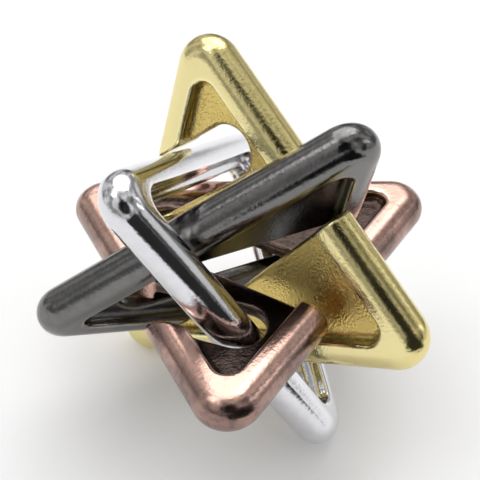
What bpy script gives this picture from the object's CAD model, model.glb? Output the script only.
"""Looks of the interlocked plate puzzle: three slotted triangular plates and one open frame.

Each piece is a smooth cast surface made from a distance field, laid where its CAD piece lies.
Lengths inside the fields are millimetres; everything in the scene is metres.
"""

import math

import bpy
import numpy as np
from mathutils import Matrix, Vector


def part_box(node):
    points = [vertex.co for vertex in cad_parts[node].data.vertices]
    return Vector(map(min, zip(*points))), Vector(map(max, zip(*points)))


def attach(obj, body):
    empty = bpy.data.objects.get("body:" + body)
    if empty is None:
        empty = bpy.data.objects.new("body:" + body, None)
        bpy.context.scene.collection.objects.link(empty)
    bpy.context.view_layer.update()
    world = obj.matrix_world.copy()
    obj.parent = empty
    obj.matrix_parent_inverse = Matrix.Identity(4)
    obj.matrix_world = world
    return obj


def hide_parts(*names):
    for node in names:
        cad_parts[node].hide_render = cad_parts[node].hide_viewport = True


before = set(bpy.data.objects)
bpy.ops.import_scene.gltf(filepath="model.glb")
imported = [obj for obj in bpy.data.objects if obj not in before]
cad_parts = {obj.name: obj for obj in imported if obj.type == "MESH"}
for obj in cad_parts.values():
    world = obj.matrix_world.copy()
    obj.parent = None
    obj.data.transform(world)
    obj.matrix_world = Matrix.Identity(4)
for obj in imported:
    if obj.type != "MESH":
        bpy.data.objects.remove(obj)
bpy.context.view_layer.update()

MM = 0.001
ROOT3 = math.sqrt(3)

# Driving dimensions of every piece, in millimetres, in the piece's own plane.
FACE_REACH = 13.5  # centre to the side of the flat face
CORNER_RADIUS = 1.7
EDGE_RADIUS = 2.8  # half the thickness: the outer edge is a full round
WEB_HALF = 1.0  # half the thickness of a plate's web
PLATE_RECESS = (12.2, 2.0)  # reach of the side and corner radius
FRAME_RECESS = (12.5, 2.0)
WINDOW = (11.1, 1.8)
CURVED_SLOT = ((0.5, 12.9), 199, 3.6)  # centre of the round end, direction, half width
STRAIGHT_SLOT_DEPTH = 13.0  # how far past the piece's centre its round end lies
STRAIGHT_SLOT_ANGLE = 30
STRAIGHT_SLOT_HALF_WIDTH = 4.2
SLOT_RUN = 60  # length of a slot, which ends well outside the rim
EDGE_SOFTNESS = 0.7  # how far a cut edge's rounding reaches from the edge
FLOOR_SOFTNESS = 1.2  # the same for the foot of a recess wall

# The grid that a surface is found on, in millimetres.
GRID_STEP = 0.3
GRID_HALF_HEIGHT = 3.3
SLOPE_STEP = 0.01  # step over which a field's slope is measured
SNAP_ROUNDS = 5  # how often a vertex is moved towards the surface
LEAST_STEEP = 0.2  # keeps a vertex from jumping where the field is flat

# Where the platings' masks fade, in millimetres.
WALL_FADE = (-0.3, 0.3)  # inward, across a recess's outline
DEPTH_FADE = (0.2, 0.9)  # down from the flat face
RIM_FADE = (0.2, 2.6)  # outward from the flat face
WEAR_FADE = (0.1, 0.8)  # away from a cut edge

# Where each piece lies: its three corners in the regular arrangement, then its lean in degrees.
DOWN = Vector((1.212, 0.81, -0.935))
FACING = Vector((-1, 2, 1))
LAYING = {
    "silver_frame": (((1, 1, 0), (0, -1, 1), (-1, 0, -1)), (-11.2, 0.4, 2.9)),
    "gold_plate": (((-1, -1, 0), (1, 0, -1), (0, 1, 1)), (0.7, -0.2, -8.4)),
    "copper_plate": (((1, 0, 1), (0, -1, -1), (-1, 1, 0)), (-2.4, -0.9, -2.0)),
    "black_plate": (((0, 1, -1), (1, -1, 0), (-1, 0, 1)), (0.0, 4.6, -1.0)),
}

# Noises of the platings: size of a blob in metres, detail and roughness.
CLOUDS = (0.006, 4, 0.5)  # uneven plating
GRAIN = (0.0007, 2, 0.5)  # cast grain in a recess
SPECKS = (0.0011, 5, 0.65)  # tarnish
PITS = (0.00035, 2, 0.5)  # stipple in a recess
DENTS = (0.0005, 4, 0.6)  # cast skin all over
WAVES = (0.011, 1, 0.5)  # faces that aren't quite flat
WAVE_HEIGHT = 1.6
BUMP_DISTANCE = 0.00006
BUMP_STRENGTH = 0.6

# Steps over a noise: where the step starts and ends, and its value at its start and end.
RIM_COVER = (0.3, 0.62, 0.55, 1.0)
AGED_COVER = (0.40, 0.66, 0.0, 0.8)
TARNISH_COVER = (0.5, 0.72, 0.0, 0.45)
RECESS_COVER = (0.2, 0.6, 1.0, 0.92)
EDGE_WEAR = (0.35, 0.6, 0.85, 0.35)
RECESS_SHELTER = 0.75  # share of the edge wear that a recess keeps away
GLOSS_STEP = (0.3, 0.75)
GLOSS_SPREAD = (0.75, 1.35)  # roughness at the start and end of that step, as shares

# Numbers of a Mix node's sockets for colours.
MIX_FACTOR, MIX_A, MIX_B = 0, 6, 7
MIX_RESULT = 2

# The photograph's view: angles in degrees, distances in metres.
VIEW_AZIMUTH = 3.41
VIEW_ELEVATION = 37.56
VIEW_ROLL = 4.48
VIEW_DISTANCE = 0.1335
VIEW_AIM = Vector((0, 0.0005, 0.0215))
VIEW_LENS = 74
VIEW_SHIFT = 0.029
VIEW_NEAREST = 0.005

# The tent: direction to the right, up and towards the camera, inner and outer angle of the soft
# edge in degrees, and how much light a box adds or what share of it a dark card takes away.
SOFT_BOXES = (
    ((-0.55, 0.60, 0.58), 6, 12, 2.4),
    ((0.88, 0.38, 0.25), 5, 10, 3.0),
    ((0.30, 0.93, 0.20), 9, 18, 1.2),
    ((-0.95, -0.1, 0.2), 12, 26, 0.4),
    ((0.62, -0.45, 0.62), 6, 13, 0.8),
)
DARK_CARDS = (
    ((0.05, 0.0, 1.0), 20, 27, 0.96),
    ((0.60, 0.52, 0.60), 5, 10, 0.85),
    ((0.90, -0.15, 0.42), 6, 14, 0.9),
    ((0.10, 0.80, -0.60), 5, 13, 0.7),
    ((-0.45, 0.62, -0.65), 6, 16, 0.6),
)
TENT_RISE = (-0.3, 0.9, 0.5, 0.75)  # step from low down to overhead, and the tent's light there
LOOSE_NOISE = (7, 2)  # scale and detail of what makes the patches' outlines uneven
LOOSE_REACH = 0.12
CLUTTER_NOISE = (3.2, 1)
CLUTTER_COVER = (0.38, 0.6, 0.4, 1.1)
BACKDROP = 0.745  # what shows behind the floor, as pale as its far edge

# A dark card on a stand, low in front: it leaves the dark streak along the frame's near arm.
NEAR_ARM = Vector((0, -0.0115, 0.0205))
CARD_DIRECTION = Vector((0.65, -0.73, -0.2))
CARD_RUN = Vector((0.6, 0.06, -0.8))  # roughly the way its long side runs
CARD_DISTANCE = 0.08
CARD_WIDTH = 0.095
CARD_LENGTH = 0.13
CARD_FINISH = {"Base Color": (0.004, 0.004, 0.004, 1), "Roughness": 0.9}

FLOOR_REACH = 1.5
FLOOR_FINISH = {
    "Base Color": (0.95, 0.95, 0.95, 1),
    "Roughness": 0.9,
    "Specular IOR Level": 0,
    "Emission Color": (1, 1, 1, 1),
    "Emission Strength": 0.14,
}
LIGHT_PLACE = Vector((-0.1, 0.25, 0.6))
LIGHT_SIZE = 0.7
LIGHT_POWER = 1.8


# ---------------------------------------------------------------- distance fields

def triangle_distance(x, y, corner_reach):
    """Distance to an equilateral triangle with its first corner towards +Y."""
    half_side = corner_reach * ROOT3 / 2
    px = np.abs(x) - half_side
    py = y + half_side / ROOT3
    beyond = px + ROOT3 * py > 0
    qx = np.where(beyond, (px - ROOT3 * py) / 2, px)
    qy = np.where(beyond, (-ROOT3 * px - py) / 2, py)
    qx = qx - np.clip(qx, -2 * half_side, 0)
    return -np.hypot(qx, qy) * np.sign(qy)


def rounded_triangle(x, y, side_reach, corner_radius):
    return triangle_distance(x, y, 2 * (side_reach - corner_radius)) - corner_radius


def open_slot(x, y, end, angle, half_width):
    """Distance to a slot with a round end, running straight out along the angle."""
    ux, uy = math.cos(math.radians(angle)), math.sin(math.radians(angle))
    dx, dy = x - end[0], y - end[1]
    along = np.clip(dx * ux + dy * uy, 0, SLOT_RUN)
    return np.hypot(dx - along * ux, dy - along * uy) - half_width


def smooth_max(a, b, reach):
    """The larger of two fields, with the crease between them rounded."""
    blend = np.maximum(reach - np.abs(a - b), 0) / reach
    return np.maximum(a, b) + blend * blend * reach / 4


def blank(x, y, z):
    """Full triangle with a fully rounded outer edge."""
    face = rounded_triangle(x, y, FACE_REACH, CORNER_RADIUS)
    return np.hypot(np.maximum(face, 0), z) - EDGE_RADIUS


def recess(x, y, z, outline):
    """Both faces' recesses, above and below the web."""
    return smooth_max(rounded_triangle(x, y, *outline), WEB_HALF - np.abs(z), FLOOR_SOFTNESS)


def plate_cut(x, y):
    """The plate's two slots."""
    angle = math.radians(STRAIGHT_SLOT_ANGLE)
    end = (-STRAIGHT_SLOT_DEPTH * math.cos(angle), -STRAIGHT_SLOT_DEPTH * math.sin(angle))
    straight = open_slot(x, y, end, STRAIGHT_SLOT_ANGLE, STRAIGHT_SLOT_HALF_WIDTH)
    return np.minimum(open_slot(x, y, *CURVED_SLOT), straight)


def frame_cut(x, y):
    """The frame's window."""
    return rounded_triangle(x, y, *WINDOW)


def recessed_blank(x, y, z, outline):
    return smooth_max(blank(x, y, z), -recess(x, y, z, outline), EDGE_SOFTNESS)


def casting(x, y, z, outline, cut):
    """A whole piece: the blank without its recesses and what is cut right through."""
    return smooth_max(recessed_blank(x, y, z, outline), -cut(x, y), EDGE_SOFTNESS)


# ---------------------------------------------------------------- surface mesh

def gradient(field, points):
    """Slope of a field at each point."""
    slopes = []
    for axis in range(3):
        offset = np.zeros(3)
        offset[axis] = SLOPE_STEP
        ahead = field(*(points + offset).T)
        behind = field(*(points - offset).T)
        slopes.append((ahead - behind) / (2 * SLOPE_STEP))
    return np.stack(slopes, axis=1)


def surface_quads(inside, cell_number):
    """One quad round every grid edge that leaves or enters the solid."""
    quads = []
    for axis in range(3):
        order = (axis, (axis + 1) % 3, (axis + 2) % 3)
        solid = inside.transpose(order)
        number = cell_number.transpose(order)
        for start, turn in ((solid, 1), (~solid, -1)):
            crossing = start[:-1] & ~start[1:]
            i, j, k = np.nonzero(crossing[:, 1:-1, 1:-1])
            around = [
                number[i, j, k],
                number[i, j + 1, k],
                number[i, j + 1, k + 1],
                number[i, j, k + 1],
            ]
            quads.append(np.stack(around[::turn], axis=1))
    return np.concatenate(quads)


def surface(field):
    """Vertices on the field's zero surface, their normals and the quads between them."""
    reach = 2 * FACE_REACH + CORNER_RADIUS + GRID_STEP
    across = np.arange(-reach, reach, GRID_STEP)
    sides = [across, across, np.arange(-GRID_HALF_HEIGHT, GRID_HALF_HEIGHT, GRID_STEP)]
    inside = field(*np.meshgrid(*sides, indexing="ij")) < 0
    ends = (slice(None, -1), slice(1, None))
    corners = np.stack([inside[a, b, c] for a in ends for b in ends for c in ends])
    crossed = corners.any(axis=0) & ~corners.all(axis=0)
    cell_number = np.full(crossed.shape, -1)
    cell_number[crossed] = np.arange(crossed.sum())
    corner = np.stack([sides[a][index] for a, index in enumerate(np.nonzero(crossed))], axis=1)
    points = corner + GRID_STEP / 2
    for _ in range(SNAP_ROUNDS):
        slope = gradient(field, points)
        steep = (slope**2).sum(axis=1, keepdims=True)
        points = points - field(*points.T)[:, None] * slope / np.maximum(steep, LEAST_STEEP)
    slope = gradient(field, points)
    normals = slope / np.linalg.norm(slope, axis=1, keepdims=True)
    return points, normals, surface_quads(inside, cell_number)


def ramp(value, start, end):
    """Smooth rise from 0 at start to 1 at end."""
    t = np.clip((value - start) / (end - start), 0, 1)
    return t * t * (3 - 2 * t)


def masks(points, outline, cut):
    """Where a casting's recess, its rounded rim and its cut edges are, as values from 0 to 1."""
    x, y, z = points.T
    recess_edge = np.maximum(np.abs(blank(x, y, z)), np.abs(recess(x, y, z, outline)))
    cut_edge = np.maximum(np.abs(recessed_blank(x, y, z, outline)), np.abs(cut(x, y)))
    inward = -rounded_triangle(x, y, *outline)
    outward = rounded_triangle(x, y, FACE_REACH, CORNER_RADIUS)
    return {
        "recess": ramp(inward, *WALL_FADE) * ramp(EDGE_RADIUS - np.abs(z), *DEPTH_FADE),
        "rim": ramp(outward, *RIM_FADE),
        "edge": 1 - ramp(np.minimum(recess_edge, cut_edge), *WEAR_FADE),
    }


def casting_surface(outline, cut):
    """Points, normals, quads and masks of a casting, in its own axes."""
    def field(x, y, z):
        return casting(x, y, z, outline, cut)

    points, normals, quads = surface(field)
    return points * MM, normals, quads, masks(points, outline, cut)


# ---------------------------------------------------------------- laying the pieces

def laying_turn():
    """Turn of the whole pile, with DOWN downward and FACING towards +X."""
    up = -DOWN.normalized()
    along = (FACING - up * FACING.dot(up)).normalized()
    return Matrix((along, up.cross(along), up))


def piece_turn(corners, lean):
    """Turn of a piece in the pile, from its corners in the regular arrangement and its lean."""
    first, second, third = (Vector(corner) for corner in corners)
    x = (third - second).normalized()
    y = first.normalized()
    regular = Matrix((x, y, x.cross(y))).transposed()
    # the CAD leans a piece about its own axes, X first
    ax, ay, az = (math.radians(angle) for angle in lean)
    own = Matrix.Rotation(ax, 3, "X") @ Matrix.Rotation(ay, 3, "Y") @ Matrix.Rotation(az, 3, "Z")
    return laying_turn() @ regular @ own


def lay(node, shape, material):
    """Puts a casting where its CAD node lies, in place of it."""
    points, normals, quads, values = shape
    turn = np.array(piece_turn(*LAYING[node])).T
    laid = points @ turn
    laid += np.mean(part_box(node), axis=0) - (laid.min(axis=0) + laid.max(axis=0)) / 2
    mesh = bpy.data.meshes.new(node + "_casting")
    mesh.from_pydata(laid.tolist(), [], quads.tolist())
    mesh.polygons.foreach_set("use_smooth", np.ones(len(quads), bool))
    for name, value in values.items():
        mask = mesh.attributes.new(name, "FLOAT", "POINT")
        mask.data.foreach_set("value", value.astype(np.float32))
    own = mesh.attributes.new("own_place", "FLOAT_VECTOR", "POINT")
    own.data.foreach_set("vector", points.astype(np.float32).ravel())
    mesh.normals_split_custom_set_from_vertices((normals @ turn).tolist())
    mesh.materials.append(material)
    piece = bpy.data.objects.new(node + "_casting", mesh)
    bpy.context.scene.collection.objects.link(piece)
    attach(piece, node.split("_")[0])
    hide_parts(node)


# ---------------------------------------------------------------- materials

def opaque(colour):
    """A colour's socket as it is, or its three numbers with full alpha."""
    return colour if isinstance(colour, bpy.types.NodeSocket) else (*colour, 1)


class Shader:
    """Small helper that adds nodes to a material's tree."""

    def __init__(self, tree):
        self.tree = tree

    def node(self, kind, inputs=(), **settings):
        made = self.tree.nodes.new(kind)
        for key, value in settings.items():
            setattr(made, key, value)
        for key, value in dict(inputs).items():
            if isinstance(value, bpy.types.NodeSocket):
                self.tree.links.new(value, made.inputs[key])
            else:
                made.inputs[key].default_value = value
        return made

    def mask(self, name):
        return self.node("ShaderNodeAttribute", attribute_name=name).outputs["Fac"]

    def noise(self, place, scale, detail, roughness=0.5):
        inputs = {"Vector": place, "Scale": scale, "Detail": detail, "Roughness": roughness}
        return self.node("ShaderNodeTexNoise", inputs).outputs["Fac"]

    def cast_noise(self, size, detail, roughness):
        """Noise with blobs about size metres wide, in the piece's own coordinates."""
        place = self.node("ShaderNodeAttribute", attribute_name="own_place").outputs["Vector"]
        return self.noise(place, 1 / size, detail, roughness)

    def math(self, operation, a, b=0.0):
        return self.node("ShaderNodeMath", {0: a, 1: b}, operation=operation).outputs[0]

    def scaled(self, value, low, high, to_low, to_high):
        """Smooth step of a value from one range to another."""
        inputs = {"Value": value, "From Min": low, "From Max": high}
        inputs |= {"To Min": to_low, "To Max": to_high}
        made = self.node("ShaderNodeMapRange", inputs, interpolation_type="SMOOTHSTEP")
        return made.outputs["Result"]

    def mix(self, factor, a, b):
        inputs = {MIX_FACTOR: factor, MIX_A: opaque(a), MIX_B: opaque(b)}
        return self.node("ShaderNodeMix", inputs, data_type="RGBA").outputs[MIX_RESULT]


def plating_colour(shader, clouds, in_recess, face, rim, aged, recessed, bright):
    """Face colour that turns to the aged rim's, then tarnish, the recess and worn edges over it."""
    rim_blend = shader.math("MULTIPLY", shader.mask("rim"), shader.scaled(clouds, *RIM_COVER))
    specks = shader.cast_noise(*SPECKS)
    aged_rim = shader.mix(shader.scaled(specks, *AGED_COVER), rim, aged)
    colour = shader.mix(rim_blend, face, aged_rim)
    colour = shader.mix(shader.scaled(specks, *TARNISH_COVER), colour, rim)
    grain = shader.scaled(shader.cast_noise(*GRAIN), *RECESS_COVER)
    colour = shader.mix(shader.math("MULTIPLY", in_recess, grain), colour, recessed)
    wear = shader.math("MULTIPLY", shader.mask("edge"), shader.scaled(clouds, *EDGE_WEAR))
    exposed = shader.math("SUBTRACT", 1.0, shader.math("MULTIPLY", in_recess, RECESS_SHELTER))
    return shader.mix(shader.math("MULTIPLY", wear, exposed), colour, bright)


def plating_roughness(shader, clouds, in_recess, land, recessed):
    """Uneven gloss on the land, and another in the recess."""
    smoothest, roughest = (land * share for share in GLOSS_SPREAD)
    satin = shader.scaled(clouds, *GLOSS_STEP, smoothest, roughest)
    return shader.math("ADD", satin, shader.math("MULTIPLY", in_recess, recessed - land))


def plating_bump(shader, in_recess, stipple, land_grain):
    """Stipple in the recess, cast skin and long waves."""
    pits = shader.math("MULTIPLY", shader.cast_noise(*PITS), in_recess)
    pits = shader.math("MULTIPLY", pits, stipple)
    dents = shader.math("MULTIPLY", shader.cast_noise(*DENTS), land_grain)
    waves = shader.math("MULTIPLY", shader.cast_noise(*WAVES), WAVE_HEIGHT)
    height = shader.math("ADD", shader.math("ADD", pits, dents), waves)
    inputs = {"Height": height, "Distance": BUMP_DISTANCE, "Strength": BUMP_STRENGTH}
    return shader.node("ShaderNodeBump", inputs).outputs["Normal"]


def plating(name, face, rim, aged, recessed, bright, gloss, stipple, land_grain):
    """Plated cast metal.

    Colours are for the flat face, the rounded rim and its aged spots, the recess and worn edges.
    gloss is the roughness on the land and in the recess. stipple and land_grain say how deep the
    cast grain is, added in the recess and all over.
    """
    material = bpy.data.materials.new(name)
    material.use_nodes = True
    tree = material.node_tree
    shader = Shader(tree)
    principled = tree.nodes["Principled BSDF"]
    principled.inputs["Metallic"].default_value = 1
    clouds = shader.cast_noise(*CLOUDS)
    in_recess = shader.mask("recess")
    colour = plating_colour(shader, clouds, in_recess, face, rim, aged, recessed, bright)
    tree.links.new(colour, principled.inputs["Base Color"])
    roughness = plating_roughness(shader, clouds, in_recess, *gloss)
    tree.links.new(roughness, principled.inputs["Roughness"])
    bump = plating_bump(shader, in_recess, stipple, land_grain)
    tree.links.new(bump, principled.inputs["Normal"])
    return material


def metals():
    """Each node's plating."""
    return {
        "silver_frame": plating(
            "chrome",
            face=(0.80, 0.80, 0.82),
            rim=(0.76, 0.76, 0.79),
            aged=(0.70, 0.70, 0.73),
            recessed=(0.68, 0.68, 0.70),
            bright=(0.93, 0.93, 0.94),
            gloss=(0.09, 0.15),
            stipple=0.5,
            land_grain=0.55,
        ),
        "gold_plate": plating(
            "pale_gold",
            face=(0.83, 0.73, 0.37),
            rim=(0.82, 0.70, 0.31),
            aged=(0.74, 0.60, 0.24),
            recessed=(0.70, 0.53, 0.17),
            bright=(0.97, 0.90, 0.56),
            gloss=(0.14, 0.25),
            stipple=2.6,
            land_grain=1.25,
        ),
        "copper_plate": plating(
            "antique_copper",
            face=(0.74, 0.465, 0.38),
            rim=(0.30, 0.195, 0.168),
            aged=(0.12, 0.10, 0.095),
            recessed=(0.028, 0.022, 0.02),
            bright=(0.93, 0.68, 0.58),
            gloss=(0.19, 0.24),
            stipple=1.6,
            land_grain=0.9,
        ),
        "black_plate": plating(
            "black_nickel",
            face=(0.20, 0.196, 0.193),
            rim=(0.19, 0.186, 0.183),
            aged=(0.13, 0.127, 0.125),
            recessed=(0.11, 0.107, 0.105),
            bright=(0.48, 0.47, 0.46),
            gloss=(0.12, 0.2),
            stipple=1.4,
            land_grain=0.9,
        ),
    }


# ---------------------------------------------------------------- stage, light and camera

def view_axes():
    """Right, up and backward directions of the photograph's view."""
    azimuth, elevation, roll = (math.radians(a) for a in (VIEW_AZIMUTH, VIEW_ELEVATION, VIEW_ROLL))
    back = Vector((
        math.sin(azimuth) * math.cos(elevation),
        -math.cos(azimuth) * math.cos(elevation),
        math.sin(elevation),
    ))
    level_right = Vector((0, 0, 1)).cross(back).normalized()
    level_up = back.cross(level_right)
    right = level_right * math.cos(roll) + level_up * math.sin(roll)
    return right, back.cross(right), back


def add_camera():
    right, up, back = view_axes()
    camera = bpy.data.objects.new("camera", bpy.data.cameras.new("camera"))
    bpy.context.scene.collection.objects.link(camera)
    turn = Matrix((right, up, back)).transposed()
    camera.matrix_world = Matrix.Translation(VIEW_AIM + back * VIEW_DISTANCE) @ turn.to_4x4()
    camera.data.lens = VIEW_LENS
    camera.data.shift_y = VIEW_SHIFT
    camera.data.clip_start = VIEW_NEAREST
    bpy.context.scene.camera = camera


def sheet(name, corners, finish):
    """Flat sheet between four corners. finish holds its shader's values."""
    mesh = bpy.data.meshes.new(name)
    mesh.from_pydata(corners, [], [(0, 1, 2, 3)])
    made = bpy.data.objects.new(name, mesh)
    bpy.context.scene.collection.objects.link(made)
    material = bpy.data.materials.new(name)
    material.use_nodes = True
    principled = material.node_tree.nodes["Principled BSDF"]
    for socket, value in finish.items():
        principled.inputs[socket].default_value = value
    mesh.materials.append(material)
    return made


def add_floor():
    """Plain pale floor under the lowest tips."""
    near, far = -FLOOR_REACH, FLOOR_REACH
    corners = [(near, near, 0), (far, near, 0), (far, far, 0), (near, far, 0)]
    floor = sheet("floor", corners, FLOOR_FINISH)


def add_dark_card():
    """The low card. It only shows in the metal's reflections."""
    out = CARD_DIRECTION.normalized()
    along = (CARD_RUN - out * CARD_RUN.dot(out)).normalized()
    across = out.cross(along)
    centre = NEAR_ARM + out * CARD_DISTANCE
    half_long, half_wide = along * CARD_LENGTH / 2, across * CARD_WIDTH / 2
    corners = [centre - half_long - half_wide, centre + half_long - half_wide]
    corners += [centre + half_long + half_wide, centre - half_long + half_wide]
    card = sheet("dark_card", corners, CARD_FINISH)
    card.visible_camera = False
    card.visible_diffuse = False
    card.visible_shadow = False


def add_tent():
    """White light tent with a dark opening round the photograph's viewpoint."""
    world = bpy.data.worlds.new("tent")
    bpy.context.scene.world = world
    world.use_nodes = True
    tree = world.node_tree
    shader = Shader(tree)
    background = tree.nodes["Background"]
    background.inputs["Color"].default_value = (1, 1, 1, 1)
    toward = shader.node("ShaderNodeTexCoord").outputs["Generated"]
    direction = shader.node("ShaderNodeVectorMath", {0: toward}, operation="NORMALIZE").outputs[0]
    loose = shader.math("SUBTRACT", shader.noise(direction, *LOOSE_NOISE), 0.5)
    loose = shader.math("MULTIPLY", loose, LOOSE_REACH)
    right, up, back = view_axes()

    def facing(target):
        """Cosine of the angle from a direction."""
        inputs = {0: direction, 1: tuple(target.normalized())}
        made = shader.node("ShaderNodeVectorMath", inputs, operation="DOT_PRODUCT")
        return made.outputs["Value"]

    def patch(target, inner, outer, strength):
        """strength within about inner degrees of a direction, fading to 0 at outer degrees."""
        aim = right * target[0] + up * target[1] + back * target[2]
        near, far = math.cos(math.radians(inner)), math.cos(math.radians(outer))
        shape = shader.scaled(shader.math("ADD", facing(aim), loose), far, near, 0.0, 1.0)
        return shader.math("MULTIPLY", shape, strength)

    level = shader.scaled(facing(Vector((0, 0, 1))), *TENT_RISE)
    for box in SOFT_BOXES:
        level = shader.math("ADD", level, patch(*box))
    for card in DARK_CARDS:
        level = shader.math("MULTIPLY", level, shader.math("SUBTRACT", 1.0, patch(*card)))
    clutter = shader.scaled(shader.noise(direction, *CLUTTER_NOISE), *CLUTTER_COVER)
    level = shader.math("MULTIPLY", level, clutter)
    seen = shader.node("ShaderNodeLightPath").outputs["Is Camera Ray"]
    unseen = shader.math("SUBTRACT", 1.0, seen)
    level = shader.math("MULTIPLY", level, unseen)
    level = shader.math("ADD", level, shader.math("MULTIPLY", seen, BACKDROP))
    tree.links.new(level, background.inputs["Strength"])


def add_lights():
    """Soft top light that fills the floor."""
    data = bpy.data.lights.new("top_light", "AREA")
    data.shape = "DISK"
    data.size = LIGHT_SIZE
    data.energy = LIGHT_POWER
    light = bpy.data.objects.new("top_light", data)
    bpy.context.scene.collection.objects.link(light)
    light.location = LIGHT_PLACE
    light.rotation_euler = LIGHT_PLACE.to_track_quat("Z", "Y").to_euler()


def build():
    slotted = casting_surface(PLATE_RECESS, plate_cut)
    window = casting_surface(FRAME_RECESS, frame_cut)
    for node, material in metals().items():
        lay(node, window if node == "silver_frame" else slotted, material)
    add_floor()
    add_tent()
    add_dark_card()
    add_lights()
    add_camera()
    bpy.context.scene.view_settings.view_transform = "Standard"


build()
